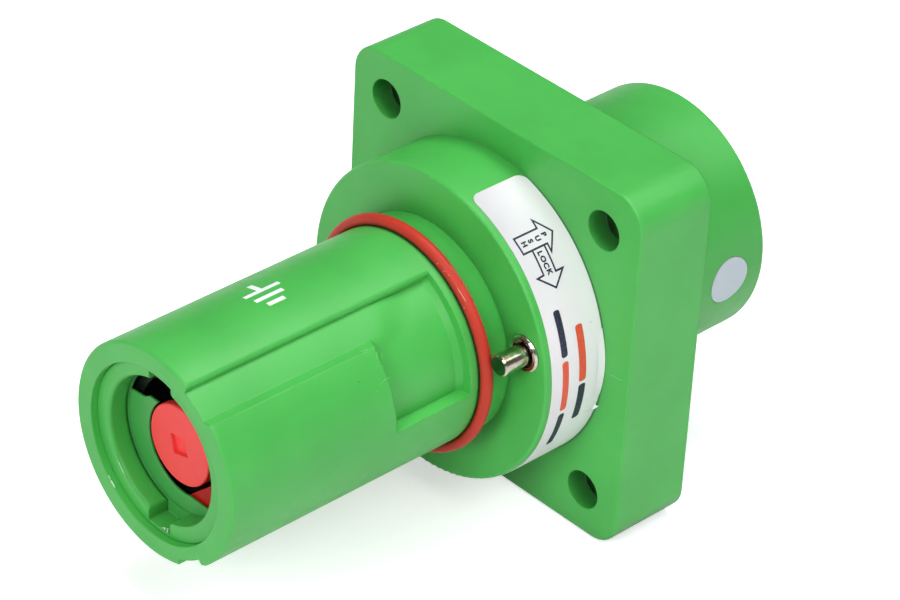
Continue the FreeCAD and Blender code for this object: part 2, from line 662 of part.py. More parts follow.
# Guard plate: a rim, with a web on the lower left side that leaves a window round the contact
guard = new_body("guard_plate")
web = sketch_on(guard, "XZ_Plane", "guard_outline", guard_back)
ring_outline(web, ring_bore / 2 + 0.6)
padded(guard, "guard_web", web, guard_thick)
hole = sketch_on(guard, "XZ_Plane", "guard_hole_outline", guard_face)
ring_outline(hole, guard_hole / 2, guard_hole_x, -guard_hole_z)
pocket(guard, "guard_hole_cut", hole, guard_thick)
window = sketch_on(guard, "XZ_Plane", "guard_window_outline", guard_face)
far = ring_bore / 2 + 2
polygon(window, [(-far, window_left), (-window_step_left, window_dip),
                 (-window_step_right, window_mid), (0, window_mid), (1, -window_low),
                 (far, -window_low), (far, far), (-far, far)])
pocket(guard, "guard_window", window, guard_thick)
turned(guard, "guard_rim", [
    (ring_bore / 2, -guard_face), (ring_outer, -guard_face),
    (ring_outer, -guard_back), (ring_bore / 2, -guard_back)])
turned(guard, "guard_line_cut", [
    (ring_bore / 2 - guard_line, -(guard_face + 1)), (ring_bore / 2, -(guard_face + 1)),
    (ring_bore / 2, -(guard_face - guard_line_deep)),
    (ring_bore / 2 - guard_line, -(guard_face - guard_line_deep))], cut=True)
keep(guard, "guard_plate")

# Red O-ring of the barrel
seal = doc.addObject("Part::Torus", "barrel_seal")
seal.Placement = FreeCAD.Placement(V(0, 0, 0), FreeCAD.Rotation(V(1, 0, 0), 90))
bind(seal, "Radius1", oring_major)
bind(seal, "Radius2", oring_cord / 2)
place(seal, y=-oring_place)
keep(seal, "barrel_seal")

# Insulator: a sleeve with a floor, and a heel trapped between barrel and contact
sleeve = new_body("insulator_blank")
sleeve_outer = barrel_bore / 2 - sleeve_fit
body_radius = contact_body / 2
turned(sleeve, "insulator_turn", [
    (sleeve_bore / 2, -sleeve_face), (sleeve_outer, -sleeve_face), (sleeve_outer, -heel_face),
    (heel_width / 2 - heel_gap, -heel_face), (heel_width / 2 - heel_gap, -spigot_end),
    (body_radius + body_fit, -spigot_end), (body_radius + body_fit, -sleeve_floor),
    (sleeve_bore / 2, -sleeve_floor)])

# Coding key, in a notch at the front of the insulator
key_front = guard_back - key_gap
key_back = key_front - key_long
notch = new_body("key_notch")
half_key = key_wide / 2
sketch = sketch_on(notch, "XZ_Plane", "key_notch_outline", sleeve_face + 1)
polygon(sketch, [(-(half_key + key_fit), key_inner - key_fit),
                 (half_key + key_fit, key_inner - key_fit),
                 (half_key + key_fit, sleeve_outer + 3), (-(half_key + key_fit), sleeve_outer + 3)])
padded(notch, "key_notch_pad", sketch, sleeve_face + 1 - key_back, back=True)
turn_about_y(notch, key_angle)
keep(cut("contact_insulator", sleeve, [notch]), "contact_insulator")

key = new_body("coding_key")
sketch = sketch_on(key, "XZ_Plane", "coding_key_outline", key_front)
polygon(sketch, [(-half_key, key_inner), (half_key, key_inner),
                 (half_key * 0.8, key_outer - 1), (half_key * 0.4, key_outer),
                 (-(half_key * 0.4), key_outer), (-(half_key * 0.8), key_outer - 1)])
padded(key, "coding_key_pad", sketch, key_long, back=True)
turn_about_y(key, key_angle)
keep(key, "coding_key")

# Contact: pin, body with its grooves, shoulder and cable bucket
contact = new_body("contact_blank")
pin_radius = contact_width / 2
body_front = sleeve_floor + body_lip
clip_back = sleeve_floor + clip_play
clip_front = clip_back + clip_thick + clip_play
clip_floor = body_radius - clip_deep
seal_floor = body_radius + body_fit - seal_cord
seal_half = seal_cord / 2 + 0.25
band_back = band_front - band_long
stud_hole = tip_stud / 2 + stud_fit
turned(contact, "contact_turn", [
    (stud_hole, -contact_nose), (pin_radius - 0.5, -contact_nose),
    (pin_radius, -(contact_nose - 0.5)), (pin_radius, -band_front),
    (pin_radius - band_seat, -band_front), (pin_radius - band_seat, -band_back),
    (pin_radius, -band_back), (pin_radius, -(body_front + 2)), (body_radius - 1, -body_front),
    (body_radius, -(body_front - 0.6)), (body_radius, -clip_front), (clip_floor, -clip_front),
    (clip_floor, -clip_back), (body_radius, -clip_back),
    (body_radius, -(seal_place + seal_half)), (seal_floor, -(seal_place + seal_half)),
    (seal_floor, -(seal_place - seal_half)), (body_radius, -(seal_place - seal_half)),
    (body_radius, -spigot_end), (contact_shoulder / 2, -spigot_end),
    (contact_shoulder / 2, -(spigot_end - shoulder_thick)),
    (bucket_width / 2, -(spigot_end - shoulder_thick)), (bucket_width / 2, bucket_end),
    (bucket_bore / 2, bucket_end), (bucket_bore / 2, bucket_end - bucket_deep),
    (0, bucket_end - bucket_deep - bucket_bore / 4), (0, -(contact_nose - stud_long - 1)),
    (stud_hole, -(contact_nose - stud_long - 1))])
bite = new_body("screw_bite")
bite_floor = bucket_width / 2 - screw_bite
turned(bite, "screw_bite_turn", [
    (bite_floor, 0), (bite_floor, thread_radius), (bucket_width / 2 + 1, thread_radius),
    (bucket_width / 2 + 1, 0)], axis="H_Axis")
place(bite, y=screw_place)
turn_about_y(bite, screw_angle - 90)
keep(cut("contact", contact, [bite]), "contact")

# Louvred band round the contact
band = new_body("contact_band")
seat = pin_radius - band_seat + 0.02
middle = (band_front + band_back) / 2
crown = pin_radius + band_rise
turned(band, "band_turn", [
    (seat, -(band_front - band_play)), (seat + band_sheet, -(band_front - band_play)),
    (crown, -middle), (seat + band_sheet, -(band_back + band_play)),
    (seat, -(band_back + band_play)), (crown - band_sheet, -middle)])
sketch = sketch_on(band, "XY_Plane", "band_slot_outline")
slot_half = (band_long / 2 - band_play) * 0.72
polygon(sketch, [(-band_slot / 2, -(middle + slot_half)), (band_slot / 2, -(middle + slot_half)),
                 (band_slot / 2, -(middle - slot_half)), (-band_slot / 2, -(middle - slot_half))])
slot_cut = pocket(band, "band_slot_cut", sketch, crown + 1, back=True)
doc.recompute()
pattern = band.newObject("PartDesign::PolarPattern", "band_slots")
pattern.Originals = [slot_cut]
axis = [f for f in band.Origin.OriginFeatures if f.Role == "Y_Axis"][0]
pattern.Axis = (axis, [""])
pattern.Angle = 360.0
pattern.Occurrences = 16
bind(pattern, "Occurrences", band_slots)
band.Tip = pattern
keep(band, "contact_band")

# Touch-proof cap, loose on the contact, with a square recess in its face
tip = new_body("contact_tip")
head_back = tip_reach - tip_head
waist = (tip_width - tip_neck) / 2
turned(tip, "tip_turn", [
    (0, -tip_reach), (tip_width / 2 - 0.2, -tip_reach), (tip_width / 2, -(tip_reach - 0.2)),
    (tip_width / 2, -head_back), (tip_neck / 2, -(head_back - waist)),
    (tip_neck / 2, -contact_nose), (tip_stud / 2, -contact_nose),
    (tip_stud / 2, -(contact_nose - stud_long)), (0, -(contact_nose - stud_long))])
sketch = sketch_on(tip, "XZ_Plane", "recess_outline", tip_reach)
half_side = recess_side / 2
legs = ((-1, -1), (1, -1), (1, 1), (-1, 1))
polygon(sketch, [((cosine(recess_turn_angle) * a - sine(recess_turn_angle) * b) * half_side,
                  (sine(recess_turn_angle) * a + cosine(recess_turn_angle) * b) * half_side)
                 for a, b in legs])
pocket(tip, "recess", sketch, recess_deep, taper=-recess_draft_angle)
place(tip, z=-tip_drop)
keep(tip, "contact_tip")

# O-ring and circlip of the contact
contact_seal = doc.addObject("Part::Torus", "contact_seal")
contact_seal.Placement = FreeCAD.Placement(V(0, 0, 0), FreeCAD.Rotation(V(1, 0, 0), 90))
bind(contact_seal, "Radius1", seal_floor + seal_cord / 2)
bind(contact_seal, "Radius2", seal_cord / 2)
place(contact_seal, y=-seal_place)
keep(contact_seal, "contact_seal")

clip = new_body("contact_circlip")
sketch = sketch_on(clip, "XY_Plane", "circlip_outline")
clip_inner = clip_floor + clip_play
polygon(sketch, [(clip_inner, -(clip_back + clip_thick)),
                 (body_radius + clip_rise, -(clip_back + clip_thick)),
                 (body_radius + clip_rise, -clip_back), (clip_inner, -clip_back)])
feature = clip.newObject("PartDesign::Revolution", "circlip_turn")
feature.Profile = sketch
feature.ReferenceAxis = (sketch, ["V_Axis"])
feature.Angle = 360.0 - clip_gap_angle.value
bind(feature, "Angle", 360.0 - clip_gap_angle)
keep(clip, "contact_circlip")

# Insert, retaining screw and plug in the side of the rear barrel
insert = new_body("screw_insert")
turned(insert, "insert_turn", [
    (insert_start, thread_radius), (insert_start, insert_width / 2),
    (insert_end, insert_width / 2), (insert_end, thread_radius)], axis="H_Axis")
place(insert, y=screw_place)
turn_about_y(insert, screw_angle - 90)
keep(insert, "screw_insert")

screw = new_body("retaining_screw")
turned(screw, "screw_turn", [
    (bite_floor + 0.1, 0), (bite_floor + 0.1, screw_shank / 2 - 0.4),
    (bite_floor + 0.5, screw_shank / 2), (screw_seat, screw_shank / 2),
    (screw_seat, screw_head / 2), (screw_seat + head_high, screw_head / 2),
    (screw_seat + head_high, 0)], axis="H_Axis")
sketch = sketch_on(screw, "YZ_Plane", "hex_outline", screw_seat + head_high)
apex = hex_socket / 2 / cosine(Size(30, "30"))
polygon(sketch, [(apex * cosine(Size(a, str(a))), apex * sine(Size(a, str(a))))
                 for a in (0, 60, 120, 180, 240, 300)])
pocket(screw, "hex_socket_cut", sketch, socket_deep)
place(screw, y=screw_place)
turn_about_y(screw, screw_angle - 90)
keep(screw, "retaining_screw")

plug_blank = new_body("plug_blank")
turned(plug_blank, "plug_turn", [
    (plug_floor, 0), (plug_floor, plug_width / 2), (rear_width / 2 + 2, plug_width / 2),
    (rear_width / 2 + 2, 0)], axis="H_Axis")
place(plug_blank, y=screw_place)
turn_about_y(plug_blank, screw_angle - 90)
skin = new_body("plug_skin")
turned(skin, "plug_skin_turn", [
    (0, 0), (rear_width / 2 + plug_proud, 0), (rear_width / 2 + plug_proud, rear_reach * 2),
    (0, rear_reach * 2)])
keep(both("screw_cover_plug", "Part::Common", plug_blank, skin), "screw_cover_plug")

# Locking pin, its bush and its spring, on an axis of their own in the collar
bush_back = collar_face - bush_long
head_front = bush_back - head_slip
head_rear = head_front - pin_head_long
pin = new_body("lock_pin")
turned(pin, "lock_pin_turn", [
    (0, -(collar_face + pin_reach)), (pin_width / 2 - pin_nose, -(collar_face + pin_reach)),
    (pin_width / 2, -(collar_face + pin_reach - pin_nose)), (pin_width / 2, -head_front),
    (pin_head_width / 2, -head_front), (pin_head_width / 2, -head_rear),
    (pin_tail_width / 2, -head_rear), (pin_tail_width / 2, -(head_rear - pin_tail_long)),
    (0, -(head_rear - pin_tail_long))])
place(pin, x=pin_x, z=pin_z)
keep(pin, "lock_pin")

bush = new_body("lock_pin_bush")
bush_bore = pin_width / 2 + pin_slip
turned(bush, "bush_turn", [
    (bush_mouth / 2, -(collar_face + lip_high)), (bush_lip / 2 - 0.3, -(collar_face + lip_high)),
    (bush_lip / 2, -(collar_face + lip_high / 2)), (bush_lip / 2, -collar_face),
    (bush_width / 2, -collar_face), (bush_width / 2, -bush_back), (bush_bore, -bush_back),
    (bush_bore, -(collar_face + lip_high - mouth_deep)),
    (bush_mouth / 2 - 0.3, -(collar_face + lip_high - mouth_deep))])
place(bush, x=pin_x, z=pin_z)
keep(bush, "lock_pin_bush")

# The coil is a chain of half rings, each tilted so that it ends where the next begins
spring_space = head_rear - pocket_end - spring_play * 2 - spring_wire
pitch = spring_space / spring_turns
coil = spring_mean / 2
spring = new_body("lock_pin_spring")
halves = []
for name, side, step in (("coil_near_half", 1, 0), ("coil_far_half", -1, 2)):
    sketch = sketch_on(spring, "XY_Plane", name + "_outline")
    ring_outline(sketch, spring_wire / 2, coil * side, -(pitch / 4 * step))
    middle = -(pitch / 4 * (step + 1))
    tilt = sketch.addGeometry(Part.LineSegment(V(0, middle.value, 0), V(
        pitch.value / 4 * side, middle.value - coil.value, 0)), True)
    fix_point(sketch, tilt, 1, 0, middle)
    fix_point(sketch, tilt, 2, pitch / 4 * side, middle - coil)
    half_ring = spring.newObject("PartDesign::Revolution", name)
    half_ring.Profile = sketch
    half_ring.ReferenceAxis = (sketch, ["Axis0"])
    half_ring.Angle = 180.0
    halves.append(half_ring)
    doc.recompute()
pattern = spring.newObject("PartDesign::LinearPattern", "coil_turns")
pattern.Originals = halves
axis = [f for f in spring.Origin.OriginFeatures if f.Role == "Y_Axis"][0]
pattern.Direction = (axis, [""])
pattern.Reversed = True
pattern.Length = pitch.value * (spring_turns.value - 1)
bind(pattern, "Length", pitch * (spring_turns - 1))
pattern.Occurrences = 6
bind(pattern, "Occurrences", spring_turns)
spring.Tip = pattern
place(spring, x=pin_x, y=-(pocket_end + spring_play + spring_wire / 2), z=pin_z)
keep(spring, "lock_pin_spring")

# Film label round the collar
film = new_body("label")
sketch = sketch_on(film, "XY_Plane", "label_outline")
film_inner = collar_width / 2 + label_gap
label_back = collar_face - label_front - label_wide
polygon(sketch, [(film_inner, -(collar_face - label_front)),
                 (film_inner + label_film, -(collar_face - label_front)),
                 (film_inner + label_film, -label_back), (film_inner, -label_back)])
feature = film.newObject("PartDesign::Revolution", "label_turn")
feature.Profile = sketch
feature.ReferenceAxis = (sketch, ["V_Axis"])
feature.Angle = label_sweep_angle.value
bind(feature, "Angle", label_sweep_angle)
turn_about_y(film, label_start_angle - 90)
doc.recompute()
shorts = edges_where(feature.Shape, lambda e: len(e.Vertexes) == 2 and e.Length < 2 * label_film.value)
rounded(film, "label_corners", feature, shorts, label_corner)
keep(film, "label")

doc.recompute()
for obj in doc.Objects:
    bad = [flag for flag in obj.State if flag in ("Invalid", "Error")]
    if bad:
        raise RuntimeError(obj.Name + " is " + ", ".join(bad))
for obj in kept:
    shape = obj.Shape
    if shape.isNull() or not shape.isValid() or len(shape.Solids) != 1:
        raise RuntimeError(obj.Label + " is not one valid solid: " + str(len(shape.Solids)))
for obj in kept:
    obj.Shape.exportStep(os.path.join("parts", obj.Label + ".step"))
    box = obj.Shape.BoundBox
    print("%-20s volume %10.1f  x %7.2f %7.2f  y %7.2f %7.2f  z %7.2f %7.2f" % (
        obj.Label, obj.Shape.Volume, box.XMin, box.XMax, box.YMin, box.YMax, box.ZMin, box.ZMax))
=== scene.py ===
import math
import bpy
from mathutils import Matrix, Vector


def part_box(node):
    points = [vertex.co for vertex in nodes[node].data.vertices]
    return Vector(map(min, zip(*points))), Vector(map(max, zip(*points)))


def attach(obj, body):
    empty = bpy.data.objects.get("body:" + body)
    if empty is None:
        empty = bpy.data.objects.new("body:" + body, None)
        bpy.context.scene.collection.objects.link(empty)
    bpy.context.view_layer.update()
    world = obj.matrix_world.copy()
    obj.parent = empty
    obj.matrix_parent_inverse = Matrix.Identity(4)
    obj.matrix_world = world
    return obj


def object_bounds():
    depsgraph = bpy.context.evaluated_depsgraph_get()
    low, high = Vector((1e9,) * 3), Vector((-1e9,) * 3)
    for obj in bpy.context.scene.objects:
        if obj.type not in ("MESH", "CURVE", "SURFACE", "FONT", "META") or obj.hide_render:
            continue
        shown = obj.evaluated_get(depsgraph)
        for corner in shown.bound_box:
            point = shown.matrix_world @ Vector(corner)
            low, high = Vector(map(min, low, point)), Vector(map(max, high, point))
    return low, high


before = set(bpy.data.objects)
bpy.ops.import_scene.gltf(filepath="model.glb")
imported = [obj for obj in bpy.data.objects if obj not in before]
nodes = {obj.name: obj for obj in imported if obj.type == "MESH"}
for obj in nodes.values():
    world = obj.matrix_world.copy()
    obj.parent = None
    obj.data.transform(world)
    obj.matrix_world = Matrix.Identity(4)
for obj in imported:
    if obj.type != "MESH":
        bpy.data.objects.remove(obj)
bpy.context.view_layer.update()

rad = math.radians
MM = 0.001


def box_in_mm(node):
    """Lowest and highest corner of a solid, in mm."""
    low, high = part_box(node)
    return low / MM, high / MM


# Sizes and places of the part in mm. The mating axis is Y, and angles about it start at the
# top and grow towards +X.
BARREL_R = 19.7
LABEL_R = 29.03
MOUTH_R = 16.0
RING_BORE_R = 13.0
KEYWAY_FLOOR = -15.18
FLANGE_FRONT = -16.0
RIM_FACE = box_in_mm("front_barrel")[0].y
RING_FACE = box_in_mm("keying_ring")[0].y
LABEL_REAR = box_in_mm("label")[1].y
PIN_FRONT = box_in_mm("lock_pin")[0].y


# Materials. Noise scales are in features a metre, other sizes in mm.
CLOUD, FLOW, RIPPLE, PATCH, POLISH, TURNING, GRAIN, SPECKLE = 90, 55, 160, 420, 700, 2400, 2600, 3200
SHADER_SAMPLES = 6


class Nodes:
    """Short ways to add shader nodes to one node tree."""

    def __init__(self, tree):
        self.tree = tree

    def put(self, socket, value):
        """Link another node's output to the socket, or write a number or a colour on it."""
        if isinstance(value, bpy.types.NodeSocket):
            self.tree.links.new(value, socket)
        elif socket.type == "RGBA":
            socket.default_value = (*value, 1.0)
        else:
            socket.default_value = value

    def node(self, kind, inputs=None):
        """New node of a kind, such as Math, with some of its inputs set."""
        new = self.tree.nodes.new("ShaderNode" + kind)
        for name, value in (inputs or {}).items():
            self.put(new.inputs[name], value)
        return new

    def math(self, operation, first, second):
        new = self.node("Math")
        new.operation = operation
        self.put(new.inputs[0], first)
        self.put(new.inputs[1], second)
        return new.outputs[0]

    def ramp(self, value, low, high, start=0.0, end=1.0):
        """The value taken from low and high to start and end, and held beyond them."""
        return self.node("MapRange", {"Value": value, "From Min": low, "From Max": high,
                                      "To Min": start, "To Max": end}).outputs[0]

    def mix(self, factor, first, second):
        """Colour that goes from first to second as the factor goes from 0 to 1."""
        new = self.node("Mix")
        new.data_type = "RGBA"
        for name, value in (("Factor", factor), ("A", first), ("B", second)):
            self.put(new.inputs[name], value)
        return new.outputs["Result"]

    def along(self, vector):
        """The vector's X, Y and Z."""
        return self.node("SeparateXYZ", {"Vector": vector}).outputs

    def background_rays(self):
        """1 for camera rays, and 1 for glossy and transmission rays."""
        path = self.node("LightPath").outputs
        mirror = self.math("MAXIMUM", path["Is Glossy Ray"], path["Is Transmission Ray"])
        return path["Is Camera Ray"], mirror


class Look(Nodes):
    """A material with one Principled shader. Its patterns follow the object's own coordinates."""

    def __init__(self, name):
        self.material = bpy.data.materials.new(name)
        self.material.use_nodes = True
        super().__init__(self.material.node_tree)
        self.tree.nodes.clear()
        self.shader = self.node("BsdfPrincipled")
        self.node("OutputMaterial", {"Surface": self.shader.outputs[0]})
        self.place = self.node("TexCoord").outputs["Object"]

    def feed(self, **inputs):
        """Set inputs of the shader, with _ for a space in their names."""
        for name, value in inputs.items():
            self.put(self.shader.inputs[name.replace("_", " ")], value)

    def noise(self, scale, detail=2.0, rough=0.5, stretch=None):
        """Noise of a scale, which may be stretched along some axes."""
        place = self.place
        if stretch:
            place = self.node("Mapping", {"Vector": place, "Scale": stretch}).outputs[0]
        return self.node("TexNoise", {"Vector": place, "Scale": scale, "Detail": detail,
                                      "Roughness": rough}).outputs["Fac"]

    def soft_edge(self, radius):
        """Normal rounded over sharp edges."""
        new = self.node("Bevel", {"Radius": radius * MM})
        new.samples = SHADER_SAMPLES
        return new.outputs[0]

    def hollow(self, reach):
        """1 in the open, towards 0 in corners and gaps that are narrower than the reach."""
        new = self.node("AmbientOcclusion", {"Distance": reach * MM})
        new.samples = SHADER_SAMPLES
        return new.outputs["AO"]

    def relief(self, height, depth, edge):
        """Normal with a bump of a depth, over soft edges."""
        return self.node("Bump", {"Height": height, "Distance": depth * MM,
                                  "Normal": self.soft_edge(edge)}).outputs[0]


def plastic(name, dark, light, rough, grain=0.012, edge=0.38, spec=0.5, corner=None, reach=11.0):
    """Moulded plastic: faint flow in the colour, a fine skin, soft edges and, where a corner colour is
    given,
    painted shading: that colour laid into corners and gaps narrower than the reach."""
    look = Look(name)
    flow, patch = look.noise(FLOW, 3.0, 0.55), look.noise(PATCH)
    colour = look.mix(look.ramp(flow, 0.35, 0.65), dark, light)
    if corner:
        # Painted shading: the corner colour goes where ambient occlusion finds a corner or a gap.
        colour = look.mix(look.ramp(look.hollow(reach), 0.22, 0.62), corner, colour)
    skin = look.math("ADD", look.noise(GRAIN), look.math("MULTIPLY", look.noise(RIPPLE), 1.6))
    look.feed(Base_Color=colour, Roughness=look.ramp(patch, 0.3, 0.7, rough - 0.04, rough + 0.05),
              Specular_IOR_Level=spec, Normal=look.relief(skin, grain, edge))
    return look.material


def metal(name, colour, rough, stretch, tarnish=0.14, painted_dark_end=None):
    """Turned or drawn metal: fine rings across the stretch and patches in the polish. In front of an end
    face, given as its y, the colour is painted dark: a painted reflection on that face."""
    look = Look(name)
    rings, patch = look.noise(TURNING, 3.0, 0.6, stretch), look.noise(POLISH)
    tarnished = tuple(c * (1 - tarnish * share) for c, share in zip(colour, (1.0, 1.2, 1.6)))
    surface = look.mix(look.ramp(patch, 0.35, 0.7), tarnished, colour)
    if painted_dark_end is not None:
        behind = look.ramp(look.along(look.place)["Y"], (painted_dark_end - 0.02) * MM, (painted_dark_end + 0.02) * MM)
        surface = look.mix(behind, (0.13, 0.135, 0.12), surface)
    look.feed(Base_Color=surface, Metallic=1.0,
              Roughness=look.ramp(rings, 0.3, 0.7, rough * 0.8, rough * 1.35),
              Normal=look.relief(rings, 0.006, 0.12))
    return look.material


def ink(name, colour, rough=0.45, spec=0.5):
    """Print or a mark: slightly uneven in weight."""
    look = Look(name)
    paler = tuple(c + (0.9 - c) * 0.06 for c in colour)
    look.feed(Base_Color=look.mix(look.ramp(look.noise(SPECKLE, 3.0), 0.4, 0.75), colour, paler),
              Roughness=rough, Specular_IOR_Level=spec)
    return look.material


def label_film(name):
    """Pale film with painted shading: darker on top of the collar and towards its front edge."""
    look = Look(name)
    place, cloud = look.along(look.place), look.math("MULTIPLY", look.noise(CLOUD), 3.0 * MM)
    top = look.ramp(look.math("ADD", place["Z"], cloud), 13.0 * MM, 27.0 * MM)
    rear = look.ramp(look.math("ADD", place["Y"], cloud), (LABEL_REAR - 9.4) * MM, (LABEL_REAR - 0.4) * MM)
    front = look.math("SUBTRACT", 1.0, rear)
    # Painted shading: the colours darken towards the label's front edge and towards the top.
    low_colour = look.mix(front, (0.985, 0.935, 0.99), (0.885, 0.84, 0.885))
    shaded_top_colour = look.mix(front, (0.86, 0.835, 0.875), (0.62, 0.612, 0.642))
    look.feed(Base_Color=look.mix(top, low_colour, shaded_top_colour),
              Roughness=look.ramp(look.noise(PATCH), 0.3, 0.7, 0.38, 0.46),
              Normal=look.relief(look.noise(RIPPLE), 0.01, 0.04))
    return look.material


DARK_GREEN, LIGHT_GREEN = (0.059, 0.435, 0.069), (0.070, 0.483, 0.081)
green = plastic("green_plastic", DARK_GREEN, LIGHT_GREEN, 0.40)
# Painted shading: the housing and the mouth get a dark green laid into their corners.
housing_green_shaded = plastic("green_housing_shaded", DARK_GREEN, LIGHT_GREEN, 0.40, corner=(0.020, 0.140, 0.025))
mouth_green_shaded = plastic("green_mouth_shaded", DARK_GREEN, LIGHT_GREEN, 0.40, corner=(0.040, 0.29, 0.046), reach=9.0)
# Painted shading: the guard plate deep in the mouth is a darker copy of the same green.
guard_green_shaded = plastic("green_guard_shaded", (0.052, 0.350, 0.068), (0.062, 0.390, 0.079), 0.40)
cap_red = plastic("cap_red", (0.93, 0.045, 0.043), (0.97, 0.055, 0.053), 0.42, edge=0.15)
key_red = plastic("key_red", (0.38, 0.008, 0.005), (0.47, 0.011, 0.006), 0.20, edge=0.15, spec=0.08)
# Painted shading: the O-rings get a dark red laid into the corners where they meet other parts.
seal_red_shaded = plastic("seal_red_shaded", (0.50, 0.036, 0.022), (0.56, 0.044, 0.027), 0.40, grain=0.01,
                   edge=0.1, spec=0.22, corner=(0.12, 0.008, 0.005), reach=1.6)
black = plastic("insulator_black", (0.009, 0.012, 0.009), (0.013, 0.016, 0.013), 0.26, edge=0.1)
pale = plastic("plug_pale", (0.60, 0.66, 0.74), (0.68, 0.74, 0.82), 0.48, grain=0.02, edge=0.3)
film = label_film("label_film")

DRAWN, TURNED = (1.0, 6.0, 1.0), (6.0, 1.0, 1.0)
# The pin's end face is painted dark: a painted reflection.
pin_metal = metal("pin_metal", (0.66, 0.62, 0.55), 0.16, DRAWN, tarnish=0.4, painted_dark_end=PIN_FRONT + 0.03)
bush_metal = metal("bush_metal", (0.74, 0.71, 0.66), 0.13, (1.0, 5.0, 1.0), tarnish=0.3)
silver = metal("silver_plate", (0.80, 0.78, 0.74), 0.24, DRAWN)
brass_metal = metal("brass_turned", (0.72, 0.52, 0.24), 0.26, TURNED)
zinc = metal("zinc_plated", (0.62, 0.63, 0.64), 0.30, TURNED)
spring_metal = metal("spring_wire", (0.48, 0.48, 0.47), 0.28, (1.0, 1.0, 1.0))

MATERIALS = {
    "flange_housing": housing_green_shaded, "front_barrel": green,
    "keying_ring": mouth_green_shaded, "guard_plate": guard_green_shaded,
    "coding_key": key_red, "contact_tip": cap_red, "barrel_seal": seal_red_shaded,
    "contact_seal": seal_red_shaded, "contact": silver, "contact_band": silver,
    "contact_insulator": black, "contact_circlip": spring_metal, "screw_insert": brass_metal,
    "retaining_screw": zinc, "screw_cover_plug": pale, "lock_pin": pin_metal,
    "lock_pin_bush": bush_metal, "lock_pin_spring": spring_metal, "label": film,
}
for name, material in MATERIALS.items():
    slots = nodes[name].data.materials
    for i in range(len(slots)):
        slots[i] = material


# Meshes. A shape is its vertices and its faces.
def join(shapes):
    """Several shapes as one."""
    verts, faces = [], []
    for own_verts, own_faces in shapes:
        base = len(verts)
        verts += own_verts
        faces += [tuple(base + i for i in face) for face in own_faces]
    return verts, faces


def sheet(rows):
    """Quads between rows of points, all rows equally long."""
    wide = len(rows[0])
    faces = [(i * wide + j, i * wide + j + 1, (i + 1) * wide + j + 1, (i + 1) * wide + j)
             for i in range(len(rows) - 1) for j in range(wide - 1)]
    return [point for row in rows for point in row], faces


def spaced(start, end, steps):
    """Numbers from start to end in equal steps."""
    return [start + (end - start) * k / steps for k in range(steps + 1)]


def about_axis(radius, angle, y):
    """Point in mm at an angle in degrees about the mating axis."""
    return Vector((radius * math.sin(rad(angle)), y, radius * math.cos(rad(angle))))


def mesh_piece(name, shapes, material, body="connector"):
    """Shapes in mm as one piece of the scene."""
    verts, faces = join(shapes)
    me = bpy.data.meshes.new(name)
    me.from_pydata([v * MM for v in verts], [], faces)
    me.validate()
    me.update()
    for poly in me.polygons:
        poly.use_smooth = True
    me.materials.append(material)
    ob = bpy.data.objects.new(name, me)
    bpy.context.scene.collection.objects.link(ob)
    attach(ob, body)
    return ob


# Flat shapes, drawn on a cylinder unrolled from the top: arc length towards +X, then y
LEAST_MITRE = 0.35
CORNER_STEPS = 5


def arc(degrees):
    """Arc length on the barrel."""
    return rad(degrees) * BARREL_R


def stroke(points, width, closed=False, step=0.5):
    """Line of quads through the points, with mitred corners. Very sharp ones are blunted."""
    pts = [Vector(p) for p in points]
    count = len(pts)
    sides = []
    for i, p in enumerate(pts):
        before = (p - pts[i - 1]).normalized() if closed or i > 0 else None
        after = (pts[(i + 1) % count] - p).normalized() if closed or i < count - 1 else None
        before, after = before or after, after or before
        ahead = (before + after).normalized()
        across = Vector((-ahead.y, ahead.x))
        mitre = max(across.dot(Vector((-before.y, before.x))), LEAST_MITRE)
        half = across * (width / 2 / mitre)
        sides.append((p + half, p - half))
    runs = []
    for i in range(count if closed else count - 1):
        j = (i + 1) % count
        parts = max(1, int((pts[j] - pts[i]).length / step + 0.5))
        runs.append(sheet([[sides[i][side].lerp(sides[j][side], t) for side in (0, 1)]
                           for t in spaced(0.0, 1.0, parts)]))
    return join(runs)


def bar(left, right, front, back, round_end=0.0, step=0.5):
    """Upright rectangle, its four corners rounded to a radius of round_end."""
    middle, half = (front + back) / 2, (back - front) / 2
    xs = spaced(left, right, max(2, int((right - left) / step)))
    if round_end > 0:
        lead = [round_end * (1 - math.cos(quarter)) for quarter in spaced(0.0, math.pi / 2, CORNER_STEPS)]
        inner = [x for x in xs if left + round_end < x < right - round_end]
        xs = sorted(set([left + d for d in lead] + inner + [right - d for d in lead]))
    rows = []
    for x in xs:
        inset = max(round_end - min(x - left, right - x), 0.0)
        high = half - round_end + math.sqrt(max(round_end ** 2 - inset ** 2, 0.0))
        rows.append([Vector((x, middle + high)), Vector((x, middle - high))])
    return sheet(rows)


def printed(name, shapes, radius, material, lift=0.02):
    """Flat shapes laid on a cylinder, lifted a little off it."""
    verts, faces = join(shapes)
    laid = [about_axis(radius + lift, math.degrees(v.x / radius), v.y) for v in verts]
    return mesh_piece(name, [(laid, faces)], material)


# Prints
white_ink = ink("white_ink", (0.86, 0.93, 0.90), 0.5)
navy_ink = ink("navy_ink", (0.018, 0.022, 0.050), 0.4, 0.2)
orange_ink = ink("orange_ink", (0.84, 0.095, 0.035), 0.4, 0.3)

# Earth sign on the barrel: a stem and three bars, each shorter than the last
BAR_WIDTH = 0.9
sign = [bar(arc(angle) - BAR_WIDTH / 2, arc(angle) + BAR_WIDTH / 2, front, back)
        for angle, front, back in ((-9.6, -67.5, -60.1), (-3.4, -67.0, -61.1), (2.2, -65.9, -62.4))]
stem = bar(arc(-18.6), arc(-10.2), -64.5, -63.4)
printed("earth_sign", sign + [stem], BARREL_R, white_ink)

